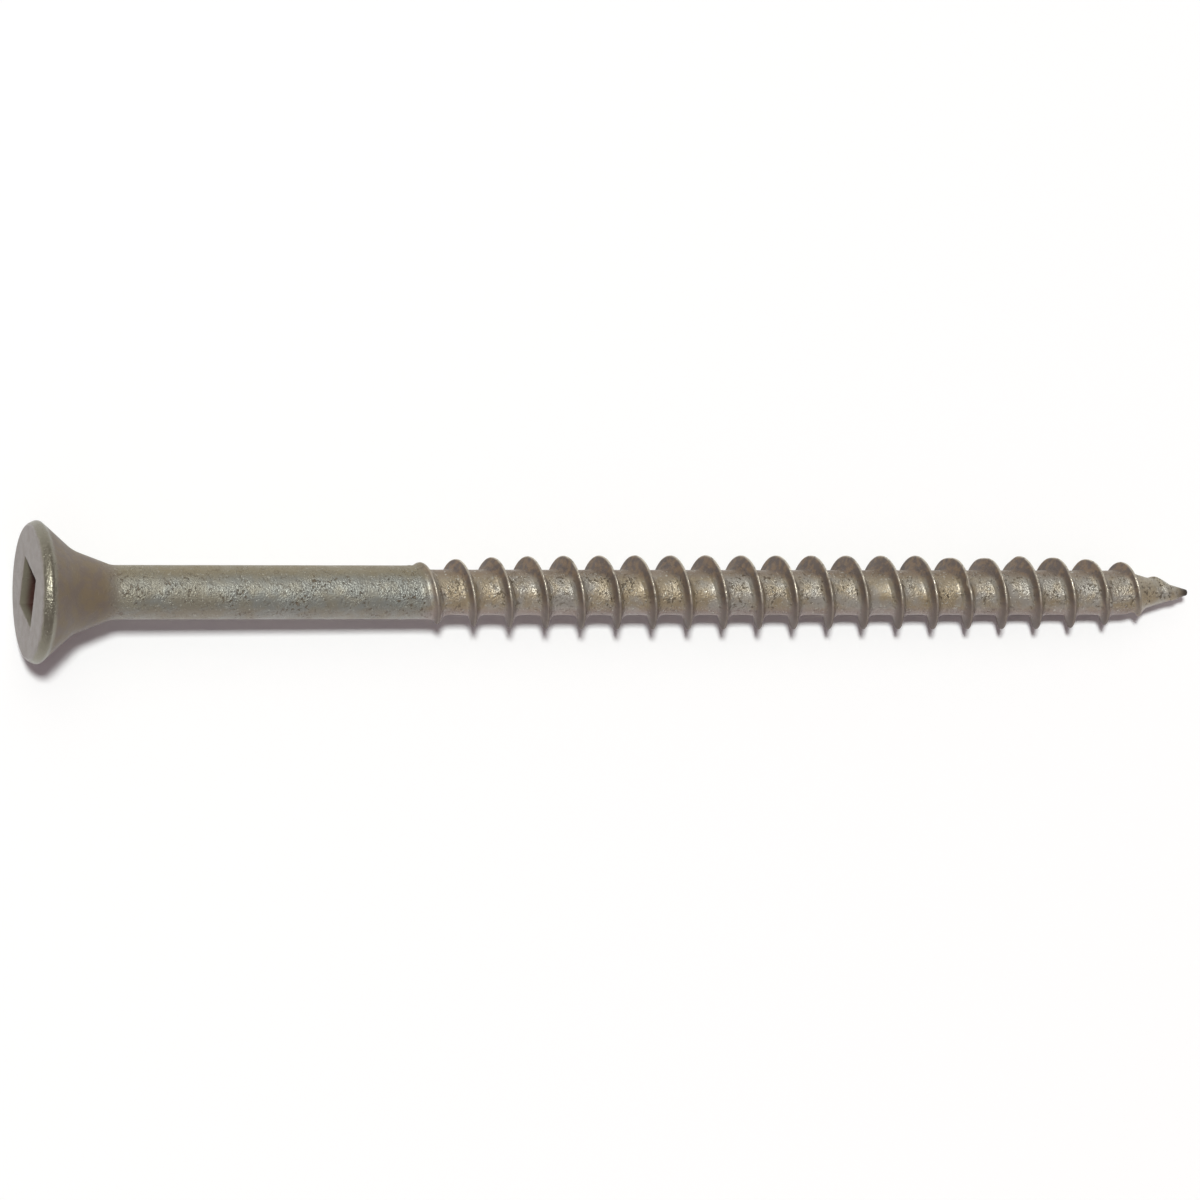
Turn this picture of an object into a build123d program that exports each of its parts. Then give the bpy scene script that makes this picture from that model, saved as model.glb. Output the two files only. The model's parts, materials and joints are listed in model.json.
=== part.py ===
"""A deck screw in one piece: bugle head, square drive, plain shank, coarse thread, sharp point.

Millimetres. It lies on its side as it would on a floor, on the rim of the head and the
crests of the thread, with the head towards -X, the tip towards +X and +Z up.
The origin is on the floor, under the middle of its box.
"""
from build123d import *
import math
import os

# Overall
overall_length = 76.2

# Head
head_diameter = 8.8
face_diameter = 8.1
rim_depth = 0.57
bugle_diameter = 6.02
bugle_depth = 2.3
neck_diameter = 4.9
neck_depth = 3.15
neck_end = 5.25

# Square drive in the face of the head
drive_across_flats = 3.3
drive_depth = 2.6
drive_taper = 1.5
drive_bottom_depth = 0.6
drive_turn = 27.2

# Shank and the body under the thread
shank_diameter = 3.34
shank_end = 25.55
shoulder_length = 0.25
root_diameter = 2.84

# Where the turned body begins and ends its turn, away from the side that lies on the floor
seam_angle = 45

# Point
point_length = 4.4
tip_diameter = 0.4

# Thread: a right-hand ridge, tall and thin, with a sharp crest
thread_diameter = 4.7
thread_pitch = 2.34
flank_angle = 17.5
foot_depth = 0.2
thread_lead = 1.8
thread_run_in = 4.0
thread_end_gap = 1.6
thread_run_out = 6.8
burial_depth = 0.1
first_crest_gap = 1.64
faces_per_turn = 5

# Worked out from the sizes above
head_radius = head_diameter / 2
face_radius = face_diameter / 2
shank_radius = shank_diameter / 2
root_radius = root_diameter / 2
tip_radius = tip_diameter / 2
thread_radius = thread_diameter / 2
point_start = overall_length - point_length
thread_start = shank_end - thread_lead
thread_end = overall_length - thread_end_gap
first_crest = shank_end + first_crest_gap
thread_turns = (thread_end - thread_start) / thread_pitch


def core_radius(x):
    """Radius of the body under the thread, at x from the face of the head."""
    share = max(0.0, x - point_start) / point_length
    return root_radius + (tip_radius - root_radius) * share


def crest_radius(x):
    """Radius of the crest, which grows out of the shank and fades into the point."""
    growth = math.exp(-(x - thread_start) / thread_run_in)
    grown = thread_radius - (thread_radius - shank_radius + burial_depth) * growth
    fade = max(0.0, 1 - (thread_end - x) / thread_run_out) ** 1.5
    return core_radius(x) + (grown - root_radius) * (1 - fade) - burial_depth * fade


def thread_section(x):
    """The ridge at x as foot, crest and foot, each as (offset along the axis, radius)."""
    crest = crest_radius(x)
    foot = max(core_radius(x) - foot_depth, 0.4 * core_radius(x))
    half_width = (crest - foot) * math.tan(math.radians(flank_angle))
    return [(-half_width, foot), (0, crest), (half_width, foot)]


def thread_corner(turn, corner):
    """One corner of the ridge after so many turns. The first crest is on the +Y side."""
    x = thread_start + thread_pitch * turn
    offset, radius = thread_section(x)[corner]
    angle = 2 * math.pi * (x - first_crest) / thread_pitch
    return Vector(x + offset, radius * math.cos(angle), radius * math.sin(angle))


def thread_direction(turn, corner):
    """How far that corner moves for each turn, at that place."""
    ahead = thread_corner(turn + 0.0001, corner)
    behind = thread_corner(turn - 0.0001, corner)
    return (ahead - behind) * 5000


def thread_edge(first, last, corner):
    """The smooth curve that one corner of the ridge follows between two nearby turns."""
    start = thread_corner(first, corner)
    end = thread_corner(last, corner)
    third = (last - first) / 3
    after_start = start + thread_direction(first, corner) * third
    before_end = end - thread_direction(last, corner) * third
    return Edge.make_bezier(start, after_start, before_end, end)


def thread_cap(turn):
    """Flat end of the ridge, buried in the body."""
    return Face(Wire.make_polygon([thread_corner(turn, corner) for corner in range(3)]))


def make_thread():
    """The ridge as one closed solid, built a part of a turn at a time."""
    stretches = math.ceil(faces_per_turn * thread_turns)
    stations = [thread_turns * step / stretches for step in range(stretches + 1)]
    faces = [thread_cap(stations[0]), thread_cap(stations[-1])]
    for first, last in zip(stations, stations[1:]):
        edges = [thread_edge(first, last, corner) for corner in range(3)]
        for corner in range(3):
            faces.append(Face.make_surface_from_curves(edges[corner], edges[(corner + 1) % 3]))
    return Solid(Shell(faces))


def make_body():
    """Head, shank, threaded body and point, turned about the X axis."""
    outline = Polyline(
        (0, 0),
        (0, face_radius),
        (rim_depth, head_radius),
        (bugle_depth, bugle_diameter / 2),
        (neck_depth, neck_diameter / 2),
        (neck_end, shank_radius),
        (shank_end, shank_radius),
        (shank_end + shoulder_length, root_radius),
        (point_start, root_radius),
        (overall_length, tip_radius),
        (overall_length, 0),
        close=True,
    )
    return Rot(seam_angle, 0, 0) * revolve(make_face(outline), Axis.X, 360)


def drive_corners(depth, width):
    """Corners of the square socket at a depth below the face, where it is so wide."""
    corners = []
    for quarter in range(4):
        angle = math.radians(drive_turn + 45 + 90 * quarter)
        reach = width / math.sqrt(2)
        corners.append(Vector(depth, reach * math.cos(angle), reach * math.sin(angle)))
    return corners


def make_drive():
    """The square socket, a little narrower at its bottom, which ends in a low pyramid."""
    bottom_width = drive_across_flats - 2 * drive_depth * math.tan(math.radians(drive_taper))
    mouth = drive_corners(0, drive_across_flats)
    bottom = drive_corners(drive_depth, bottom_width)
    peak = Vector(drive_depth + drive_bottom_depth, 0, 0)
    faces = [Face(Wire.make_polygon(mouth))]
    for side in range(4):
        following = (side + 1) % 4
        wall = [mouth[side], mouth[following], bottom[following], bottom[side]]
        faces.append(Face(Wire.make_polygon(wall)))
        faces.append(Face(Wire.make_polygon([bottom[side], bottom[following], peak])))
    return Solid(Shell(faces))


def resting_tilt():
    """Angle at which the rim of the head and the crests of the thread both touch the floor."""
    angles = []
    x = first_crest + 0.75 * thread_pitch
    while x < thread_end:
        angles.append(math.atan2(head_radius - crest_radius(x), x - rim_depth))
        x += thread_pitch
    return math.degrees(min(angles))


def make_screw():
    """The whole screw, laid on its side on the floor."""
    straight = make_body() + make_thread() - make_drive()
    tilted = Rot(0, resting_tilt(), 0) * straight
    box = tilted.bounding_box()
    return Pos(-box.center().X, -box.center().Y, -box.min.Z) * tilted


os.makedirs("parts", exist_ok=True)
screw = make_screw()
export_step(screw, "parts/deck_screw.step")
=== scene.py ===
"""A deck screw lying on a pale floor: bugle head, square drive, plain shank and a coarse thread.

The screw is one closed mesh. Its head, shank and point are turned from an outline, and
Geometry Nodes wind the thread between them.
"""
import json
import logging
import math
from collections.abc import Callable
from dataclasses import dataclass
from enum import Enum

import bmesh
import bpy
from mathutils import Matrix, Vector


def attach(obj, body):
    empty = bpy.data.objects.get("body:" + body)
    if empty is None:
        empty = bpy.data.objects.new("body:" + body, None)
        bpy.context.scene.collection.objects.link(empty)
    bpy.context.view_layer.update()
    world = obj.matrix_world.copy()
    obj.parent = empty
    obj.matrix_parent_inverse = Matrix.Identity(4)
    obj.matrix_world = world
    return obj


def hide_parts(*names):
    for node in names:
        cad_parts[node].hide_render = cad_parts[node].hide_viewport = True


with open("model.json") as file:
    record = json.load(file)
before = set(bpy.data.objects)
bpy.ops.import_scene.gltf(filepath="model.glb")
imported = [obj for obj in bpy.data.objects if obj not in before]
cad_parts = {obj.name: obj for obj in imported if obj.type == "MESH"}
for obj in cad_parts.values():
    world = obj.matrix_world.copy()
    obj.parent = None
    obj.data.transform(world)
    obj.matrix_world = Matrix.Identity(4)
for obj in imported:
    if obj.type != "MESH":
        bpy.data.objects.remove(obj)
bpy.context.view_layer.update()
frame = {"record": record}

log = logging.getLogger("deck_screw")
MM = 0.001
TURN = 2 * math.pi
WHOLE_TURNS = 1000
# The fields of the screw that its thread's node tree takes as inputs.
THREAD_LENGTHS = (
    "pitch", "first_crest", "crest_radius", "root_radius", "shank_radius", "shank_end",
    "shank_end_slant", "shoulder", "tip_radius", "point_length", "crest_half_land",
    "crest_rounding", "head_side_foot", "tip_side_foot", "root_hollow", "crest_raggedness",
    "burr_height", "burr_offset", "burr_width", "burr_start", "burr_length", "blunt_start",
    "blunt_end", "blunt_land", "blunt_foot", "thread_start", "run_in", "thread_end", "run_out",
    "winding_start", "winding_end",
)
THREAD_SHAPES = ("head_side_hollow", "tip_side_hollow", "blunt_hollow")
Colour = tuple[float, float, float, float]
Span = tuple[float, float]
Strength = tuple[float, float]
Ring = list[tuple[float, float, float]]
RadiusAt = Callable[[float], float]


class Port(Enum):
    """The kinds of input and output that a node group can have."""

    VECTOR = "NodeSocketVector"
    FLOAT = "NodeSocketFloat"
    WHOLE = "NodeSocketInt"
    COLOUR = "NodeSocketColor"
    MATERIAL = "NodeSocketMaterial"
    GEOMETRY = "NodeSocketGeometry"


class Operation(Enum):
    """The sums that a node can do with one, two or three values."""

    ADD = "ADD"
    SUBTRACT = "SUBTRACT"
    MULTIPLY = "MULTIPLY"
    DIVIDE = "DIVIDE"
    POWER = "POWER"
    LOWER_OF = "MINIMUM"
    HIGHER_OF = "MAXIMUM"
    ABSOLUTE = "ABSOLUTE"
    FRACTION = "FRACT"
    EXPONENT = "EXPONENT"
    SINE = "SINE"
    COSINE = "COSINE"
    ANGLE = "ARCTAN2"
    IS_ABOVE = "GREATER_THAN"
    ROOT = "SQRT"


class Value:
    """A number that changes over a surface: the output of a node, open to plain arithmetic."""

    def __init__(self, tree: bpy.types.NodeTree, socket: bpy.types.NodeSocket) -> None:
        """Keeps the tree and the socket that the number comes from.

        Args:
            tree: The node tree that the socket is in.
            socket: The output that gives the number.
        """
        self.tree = tree
        self.socket = socket

    def apply(self, operation: Operation, *others: "Value | float") -> "Value":
        """Passes the number through a math node.

        Args:
            operation: What the node does.
            others: The node's further inputs.

        Returns:
            The node's result.
        """
        node = self.tree.nodes.new("ShaderNodeMath")
        node.operation = operation.value
        for socket, given in zip(node.inputs, (self, *others)):
            connect(self.tree, given, socket)
        return Value(self.tree, node.outputs[0])

    def __add__(self, other: "Value | float") -> "Value":
        """The sum."""
        return self.apply(Operation.ADD, other)

    def __radd__(self, other: float) -> "Value":
        """The sum."""
        return self.apply(Operation.ADD, other)

    def __sub__(self, other: "Value | float") -> "Value":
        """The difference."""
        return self.apply(Operation.SUBTRACT, other)

    def __rsub__(self, other: float) -> "Value":
        """The difference, taken from a plain number."""
        return (self * -1.0) + other

    def __mul__(self, other: "Value | float") -> "Value":
        """The product."""
        return self.apply(Operation.MULTIPLY, other)

    def __rmul__(self, other: float) -> "Value":
        """The product."""
        return self.apply(Operation.MULTIPLY, other)

    def __truediv__(self, other: "Value | float") -> "Value":
        """The quotient."""
        return self.apply(Operation.DIVIDE, other)

    def __rtruediv__(self, other: float) -> "Value":
        """The quotient, taken from a plain number."""
        return self.power(-1.0) * other

    def at_least(self, floor: "Value | float") -> "Value":
        """The number, or the floor where that is higher."""
        return self.apply(Operation.HIGHER_OF, floor)

    def at_most(self, ceiling: "Value | float") -> "Value":
        """The number, or the ceiling where that is lower."""
        return self.apply(Operation.LOWER_OF, ceiling)

    def within_one(self) -> "Value":
        """The number, held between 0 and 1."""
        return self.at_least(0.0).at_most(1.0)

    def power(self, exponent: "Value | float") -> "Value":
        """The number to a power."""
        return self.apply(Operation.POWER, exponent)

    def rise(self, start: "Value | float", end: "Value | float") -> "Value":
        """A smooth step from 0 to 1.

        Args:
            start: Where the step leaves 0.
            end: Where it reaches 1.

        Returns:
            The height of the step, from 0 to 1.
        """
        share = ((self - start) / (end - start)).within_one()
        return share * share * (3.0 - share * 2.0)

    def drop(self, start: "Value | float", end: "Value | float") -> "Value":
        """A smooth step from 1 to 0 between two places."""
        return 1.0 - self.rise(start, end)

    def bell(self, middle: "Value | float", width: "Value | float") -> "Value":
        """A smooth hump, 1 in its middle.

        Args:
            middle: Where the hump is.
            width: How far from its middle the hump falls to about a third.

        Returns:
            The height of the hump, from 0 to 1.
        """
        share = (self - middle) / width
        return (share * share * -1.0).apply(Operation.EXPONENT)

    def toward(self, other: "Value | float", share: "Value | float") -> "Value":
        """A blend from this number to another by a share from 0 to 1."""
        return self + (other - self) * share


def connect(
    tree: bpy.types.NodeTree, given: "Value | float | tuple", socket: bpy.types.NodeSocket
) -> None:
    """Links a value to a socket, or sets the socket to a plain number or colour.

    Args:
        tree: The node tree that holds both.
        given: What the socket gets.
        socket: The input to fill.
    """
    if isinstance(given, Value):
        tree.links.new(given.socket, socket)
    else:
        socket.default_value = given


def as_vector(tree: bpy.types.NodeTree, *parts: Value | float) -> Value:
    """Makes one vector out of three numbers.

    Args:
        tree: The node tree to add to.
        parts: The three numbers.

    Returns:
        The vector.
    """
    node = tree.nodes.new("ShaderNodeCombineXYZ")
    for part, socket in zip(parts, node.inputs):
        connect(tree, part, socket)
    return Value(tree, node.outputs[0])


def parted(place: Value) -> list[Value]:
    """Takes a vector apart.

    Args:
        place: The vector.

    Returns:
        Its three numbers.
    """
    node = place.tree.nodes.new("ShaderNodeSeparateXYZ")
    connect(place.tree, place, node.inputs[0])
    return [Value(place.tree, socket) for socket in node.outputs]


def noise(place: Value, scale: Value | float, detail: float = 1.0) -> Value:
    """A smooth random number, from about 0 to 1, that changes from place to place.

    Args:
        place: The place as a vector.
        scale: How many bumps fit in one unit of length.
        detail: How many finer layers are added.

    Returns:
        The random number.
    """
    node = place.tree.nodes.new("ShaderNodeTexNoise")
    connect(place.tree, place, node.inputs["Vector"])
    connect(place.tree, scale, node.inputs["Scale"])
    node.inputs["Detail"].default_value = detail
    return Value(place.tree, node.outputs[0])


def blend(share: Value, first: Value | Colour, second: Value | Colour) -> Value:
    """A colour between two others.

    Args:
        share: 0 for the first colour, 1 for the second.
        first: The first colour.
        second: The second colour.

    Returns:
        The blended colour.
    """
    node = share.tree.nodes.new("ShaderNodeMix")
    node.data_type = "RGBA"
    connect(share.tree, share, node.inputs[0])
    connect(share.tree, first, node.inputs[6])
    connect(share.tree, second, node.inputs[7])
    return Value(share.tree, node.outputs[2])


def from_crest(
    along: Value, turned: Value, first_crest: Value | float, pitch: Value | float
) -> Value:
    """How far a place lies from the nearest crest of the thread.

    Args:
        along: The place's distance from the face of the head.
        turned: Its way round the axis in turns.
        first_crest: Where the first full crest is at no turn.
        pitch: The distance from one crest to the next.

    Returns:
        The distance towards the tip, from minus half a pitch to half a pitch.
    """
    count = (along - first_crest) / pitch - turned + (WHOLE_TURNS + 0.5)
    return (count.apply(Operation.FRACTION) - 0.5) * pitch


def as_title(name: str) -> str:
    """A field's name as the name of a socket."""
    return name.replace("_", " ").title()


def new_group(name: str, takes: dict[str, Port], gives: dict[str, Port]) -> bpy.types.NodeTree:
    """An empty shader node group with named ports.

    Args:
        name: The group's name.
        takes: The kind of each input, by its name.
        gives: The kind of each output, by its name.

    Returns:
        The group.
    """
    group = bpy.data.node_groups.new(name, "ShaderNodeTree")
    for way, ports in (("INPUT", takes), ("OUTPUT", gives)):
        for port, kind in ports.items():
            group.interface.new_socket(port, in_out=way, socket_type=kind.value)
    group.nodes.new("NodeGroupInput")
    group.nodes.new("NodeGroupOutput")
    return group


def group_inputs(group: bpy.types.NodeTree) -> dict[str, Value]:
    """The inputs of a node group as values, by name."""
    given = group.nodes["Group Input"]
    return {socket.name: Value(group, socket) for socket in given.outputs if socket.name}


def fill_outputs(group: bpy.types.NodeTree, results: dict[str, Value]) -> bpy.types.NodeTree:
    """Links a node group's results to its outputs.

    Args:
        group: The group.
        results: What each of its outputs gives, by name.

    Returns:
        The same group.
    """
    for name, value in results.items():
        connect(group, value, group.nodes["Group Output"].inputs[name])
    return group


def use_group(
    tree: bpy.types.NodeTree, group: bpy.types.NodeTree, given: dict[str, Value | float | Colour]
) -> dict[str, Value]:
    """Puts a node group into a tree.

    Args:
        tree: The tree to add to.
        group: The group.
        given: What each of its inputs gets, by name.

    Returns:
        Its outputs by name.
    """
    node = tree.nodes.new("ShaderNodeGroup")
    node.node_tree = group
    for name, value in given.items():
        connect(tree, value, node.inputs[name])
    return {socket.name: Value(tree, socket) for socket in node.outputs}


def pitting() -> bpy.types.NodeTree:
    """A rough baked surface: fine grain, dark pits and a few raised specks, which the material
    also paints as bright glints.

    Returns:
        The node group.
    """
    group = new_group(
        "pitting",
        {
            "Place": Port.VECTOR,
            "Grain Size": Port.FLOAT,
            "Pit Size": Port.FLOAT,
            "Pit Share": Port.FLOAT,
        },
        {"Pits": Port.FLOAT, "Specks": Port.FLOAT, "Height": Port.FLOAT},
    )
    given = group_inputs(group)
    place = given["Place"]
    pit_size = given["Pit Size"]
    grain = noise(place, 1.0 / given["Grain Size"], 3.0)
    # Noise seldom passes 0.8, so that a share of 0 leaves next to no pits.
    holes = noise(place, 1.0 / pit_size, 1.5)
    holes = holes.rise(0.78 - given["Pit Share"], 0.84 - given["Pit Share"])
    # The pits come in clusters, four times as wide as a pit.
    pits = holes * noise(place, 0.25 / pit_size, 1.0).rise(0.35, 0.6)
    specks = (1.0 - noise(place, 1.35 / pit_size, 0.5)).rise(0.64, 0.74)
    height = grain * 0.6 - pits * 0.5 + specks * 0.35
    return fill_outputs(group, {"Pits": pits, "Specks": specks, "Height": height})


def staining() -> bpy.types.NodeTree:
    """Cloudy patches where one colour gives way to another.

    Returns:
        The node group.
    """
    group = new_group(
        "staining",
        {
            "Place": Port.VECTOR,
            "Patch Size": Port.FLOAT,
            "Clean": Port.COLOUR,
            "Stained": Port.COLOUR,
        },
        {"Stain": Port.FLOAT, "Colour": Port.COLOUR},
    )
    given = group_inputs(group)
    broad = noise(given["Place"], 1.0 / given["Patch Size"], 1.0)
    small = noise(given["Place"], 4.5 / given["Patch Size"], 2.0)
    stain = (broad * 0.5 + small * 0.5).rise(0.36, 0.62)
    colour = blend(stain, given["Clean"], given["Stained"])
    return fill_outputs(group, {"Stain": stain, "Colour": colour})


def edge_wear() -> bpy.types.NodeTree:
    """Wear along an edge: strongest on it, broken up along its length.

    Returns:
        The node group.
    """
    group = new_group(
        "edge_wear",
        {"Place": Port.VECTOR, "Distance": Port.FLOAT, "Reach": Port.FLOAT},
        {"Wear": Port.FLOAT},
    )
    given = group_inputs(group)
    near = given["Distance"].drop(given["Reach"] * 0.45, given["Reach"])
    broken = noise(given["Place"], 2.2, 2.0).rise(0.3, 0.5)
    return fill_outputs(group, {"Wear": near * (0.35 + broken * 0.65)})


@dataclass(frozen=True)
class Corner:
    """One corner of a turned outline: its distance from the face, its radius and its rounding."""

    along: float
    out: float
    rounding: float = 0.0
    steps: int = 1


@dataclass(frozen=True)
class Dent:
    """A rubbed-down or bent place on the crest, by its turn from the first full crest."""

    turn: float
    degrees: float
    depth: float = 0.0
    lean: float = 0.0


def rounded_outline(corners: list[Corner]) -> list[tuple[float, float]]:
    """Replaces each inner corner by an arc.

    Args:
        corners: The outline's corners in order, in millimetres.

    Returns:
        The points (distance from the face, radius) of the rounded outline.
    """
    points = [(corners[0].along, corners[0].out)]
    for before, corner, after in zip(corners, corners[1:], corners[2:]):
        here = Vector((corner.along, corner.out))
        back = (Vector((before.along, before.out)) - here).normalized()
        on = (Vector((after.along, after.out)) - here).normalized()
        half = back.angle(on) / 2
        middle = here + (back + on).normalized() * (corner.rounding / math.sin(half))
        start = here + back * (corner.rounding / math.tan(half)) - middle
        end = here + on * (corner.rounding / math.tan(half)) - middle
        sweep = start.angle(end)
        for step in range(corner.steps + 1):
            share = step / corner.steps
            arm = start * math.sin((1 - share) * sweep) + end * math.sin(share * sweep)
            points.append(tuple(middle + arm / math.sin(sweep)))
    points.append((corners[-1].along, corners[-1].out))
    return points


@dataclass
class DeckScrew:
    """The whole screw. Lengths are millimetres from the face of the head along the axis."""

    # Head
    length: float = 76.2
    face_radius: float = 4.07
    face_edge: float = 0.2
    face_rounding: float = 0.28
    bevel: float = 0.17
    bevel_rounding: float = 0.4
    rim_radius: float = 4.4
    rim_swell: float = 0.035
    rim_depth: float = 0.6
    rim_rounding: float = 0.3
    bugle_depth: float = 2.72
    bugle_radius: float = 2.59
    bugle_rounding: float = 2.6
    neck_end: float = 5.22
    neck_rounding: float = 1.5
    # Square drive
    drive_half_width: float = 1.65
    drive_depth: float = 2.6
    drive_bottom: float = 0.6
    drive_narrowing: float = 0.07
    drive_mouth: float = 0.07
    drive_corner_angle: float = 72.2
    drive_corner_share: float = 0.985
    drive_levels: tuple[float, ...] = (2.2, 1.6, 1.0, 0.5, 0.2)
    # Shank, body under the thread, and point
    shank_radius: float = 1.665
    shank_end: float = 25.5
    shank_end_slant: float = 0.585
    shoulder: float = 0.14
    root_radius: float = 1.405
    point_length: float = 4.4
    tip_radius: float = 0.17
    tip_roundness: float = 0.6
    # Thread
    crest_radius: float = 2.335
    pitch: float = 2.34
    first_crest: float = 27.19
    crest_half_land: float = 0.06
    crest_rounding: float = 0.024
    head_side_foot: float = 0.43
    tip_side_foot: float = 0.75
    head_side_hollow: float = 1.7
    tip_side_hollow: float = 3.0
    root_hollow: float = 0.1
    root_hollow_share: float = 0.4
    crest_raggedness: float = 0.035
    crest_rags_each_turn: float = 9.0
    lean_fall: float = 0.5
    burr_height: float = 0.06
    burr_offset: float = -0.62
    burr_width: float = 0.06
    burr_start: float = 0.1
    burr_length: float = 0.7
    blunt_start: float = 72.6
    blunt_end: float = 73.7
    blunt_land: float = 0.1
    blunt_foot: float = 0.85
    blunt_hollow: float = 1.5
    thread_start: float = 23.45
    run_in: float = 4.0
    thread_end: float = 75.3
    run_out: float = 10.0
    # How the mesh is laid out
    winding_start: float = 22.4
    winding_end: float = 75.55
    steps_round: int = 96
    shank_steps: int = 12
    point_steps: int = 6
    profile_steps: int = 28
    crest_crowding: float = 0.22
    seam_reach: float = 0.0015
    sharp_degrees: float = 40.0
    seed: int = 7
    dents: tuple[Dent, ...] = (
        Dent(turn=14.0, degrees=24, depth=0.13),
        Dent(turn=14.21, degrees=7, depth=0.22, lean=0.05),
        Dent(turn=15.0, degrees=24, depth=0.14),
        Dent(turn=15.93, degrees=16, depth=0.10),
        Dent(turn=17.0, degrees=26, depth=0.07),
        Dent(turn=18.02, degrees=24, depth=0.06),
        Dent(turn=18.31, degrees=16, depth=0.08, lean=0.22),
    )

    def ring(self, along: float, radius_at: RadiusAt) -> Ring:
        """The points of one ring of the turned mesh.

        Args:
            along: The ring's distance from the face.
            radius_at: A function that gives the radius at an angle.

        Returns:
            The ring's points on the straight screw, in millimetres.
        """
        points = []
        for step in range(self.steps_round):
            angle = math.radians(self.drive_corner_angle) + TURN * step / self.steps_round
            radius = radius_at(angle)
            points.append((along, radius * math.cos(angle), radius * math.sin(angle)))
        return points

    def round_ring(self, along: float, radius: float) -> Ring:
        """A ring with the same radius all round."""
        return self.ring(along, lambda angle: radius)

    def square(self, half_width: float) -> RadiusAt:
        """The radius of a square with slightly eased corners.

        Args:
            half_width: Half the square's distance across its flats.

        Returns:
            A function that gives the radius at an angle.
        """
        corner = math.radians(self.drive_corner_angle)
        reach = self.drive_corner_share * half_width * math.sqrt(2)

        def radius(angle: float) -> float:
            """The radius of the square at an angle."""
            off_flat = (angle - corner + TURN / 4) % (TURN / 4) - TURN / 8
            return min(half_width / math.cos(off_flat), reach)

        return radius

    def point_radius(self, along: float) -> float:
        """The radius of the bare body under the thread near the point.

        Args:
            along: Distance from the face of the head.

        Returns:
            The radius in millimetres.
        """
        share = max(0.0, along - (self.length - self.point_length)) / self.point_length
        return self.root_radius + (self.tip_radius - self.root_radius) * share

    def drive_rings(self) -> list[Ring]:
        """Rings from the bottom of the square drive up its walls and over the eased mouth.

        Returns:
            The rings in order.
        """
        bottom_half = self.drive_half_width - self.drive_narrowing
        rings = []
        for share in (0.33, 0.66, 1.0):
            depth = self.drive_depth + self.drive_bottom * (1 - share)
            rings.append(self.ring(depth, self.square(bottom_half * share)))
        for depth in self.drive_levels:
            half = self.drive_half_width - self.drive_narrowing * depth / self.drive_depth
            rings.append(self.ring(depth, self.square(half)))
        for degrees in (0, 30, 60, 90):
            turn = math.radians(degrees)
            depth = self.drive_mouth * (1 - math.sin(turn))
            half = self.drive_half_width + self.drive_mouth * (1 - math.cos(turn))
            rings.append(self.ring(depth, self.square(half)))
        return rings

    def head_rings(self) -> list[Ring]:
        """Rings from the bottom of the square drive, over the face and rim, down to the shank.

        Returns:
            The rings in order.
        """
        rings = self.drive_rings()
        mouth = self.square(self.drive_half_width + self.drive_mouth)
        flat = self.face_radius - self.face_edge
        for share in (0.3, 0.65):
            rings.append(self.ring(0.0, lambda angle: mouth(angle) * (1 - share) + flat * share))
        outline = rounded_outline([
            Corner(0.0, flat),
            Corner(0.0, self.face_radius, self.face_rounding, steps=5),
            Corner(self.bevel, self.face_radius + self.bevel, self.bevel_rounding, steps=4),
            Corner(self.rim_depth, self.rim_radius + self.rim_swell, self.rim_rounding, steps=7),
            Corner(self.bugle_depth, self.bugle_radius, self.bugle_rounding, steps=8),
            Corner(self.neck_end, self.shank_radius, self.neck_rounding, steps=6),
            Corner(self.winding_start, self.shank_radius),
        ])
        for along, out in outline[:-1]:
            rings.append(self.round_ring(along, min(out, self.rim_radius)))
        neck = outline[-2][0]
        for step in range(1, self.shank_steps + 1):
            along = neck + (self.winding_start - neck) * step / self.shank_steps
            rings.append(self.round_ring(along, self.shank_radius))
        return rings

    def point_rings(self) -> list[Ring]:
        """Rings from the end of the winding to the tip.

        Returns:
            The rings in order.
        """
        rings = []
        roundness = self.tip_roundness * self.tip_radius
        shoulder = self.length - roundness
        for step in range(self.point_steps + 1):
            along = self.winding_end + (shoulder - self.winding_end) * step / self.point_steps
            rings.append(self.round_ring(along, self.point_radius(along)))
        for degrees in (20, 40, 60, 80):
            turn = math.radians(degrees)
            along = shoulder + roundness * math.sin(turn)
            rings.append(self.round_ring(along, self.point_radius(shoulder) * math.cos(turn)))
        return rings

    def skin(self, sculpt: bmesh.types.BMesh, rings: list[Ring], pole: float, first: bool) -> None:
        """Lays faces between rings and closes one end over a pole on the axis.

        Args:
            sculpt: The mesh to add to.
            rings: The rings in order.
            pole: The pole's distance from the face of the head.
            first: Whether the pole closes the first ring, and not the last.
        """
        made = [[sculpt.verts.new(Vector(spot) * MM) for spot in ring] for ring in rings]
        top = sculpt.verts.new(Vector((pole, 0, 0)) * MM)
        following = [(step + 1) % self.steps_round for step in range(self.steps_round)]
        for near, far in zip(made, made[1:]):
            for step, then in enumerate(following):
                sculpt.faces.new((near[step], near[then], far[then], far[step]))
        end = made[0] if first else made[-1]
        for step, then in enumerate(following):
            edge = (end[then], end[step]) if first else (end[step], end[then])
            sculpt.faces.new((top, *edge))

    def turned_mesh(self) -> bpy.types.Mesh:
        """Head, shank and point as a mesh, open where the thread will be wound.

        Returns:
            The mesh.
        """
        sculpt = bmesh.new()
        self.skin(sculpt, self.head_rings(), self.drive_depth + self.drive_bottom, first=True)
        self.skin(sculpt, self.point_rings(), self.length, first=False)
        mesh = bpy.data.meshes.new("turned_body")
        sculpt.to_mesh(mesh)
        sculpt.free()
        return mesh

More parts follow.
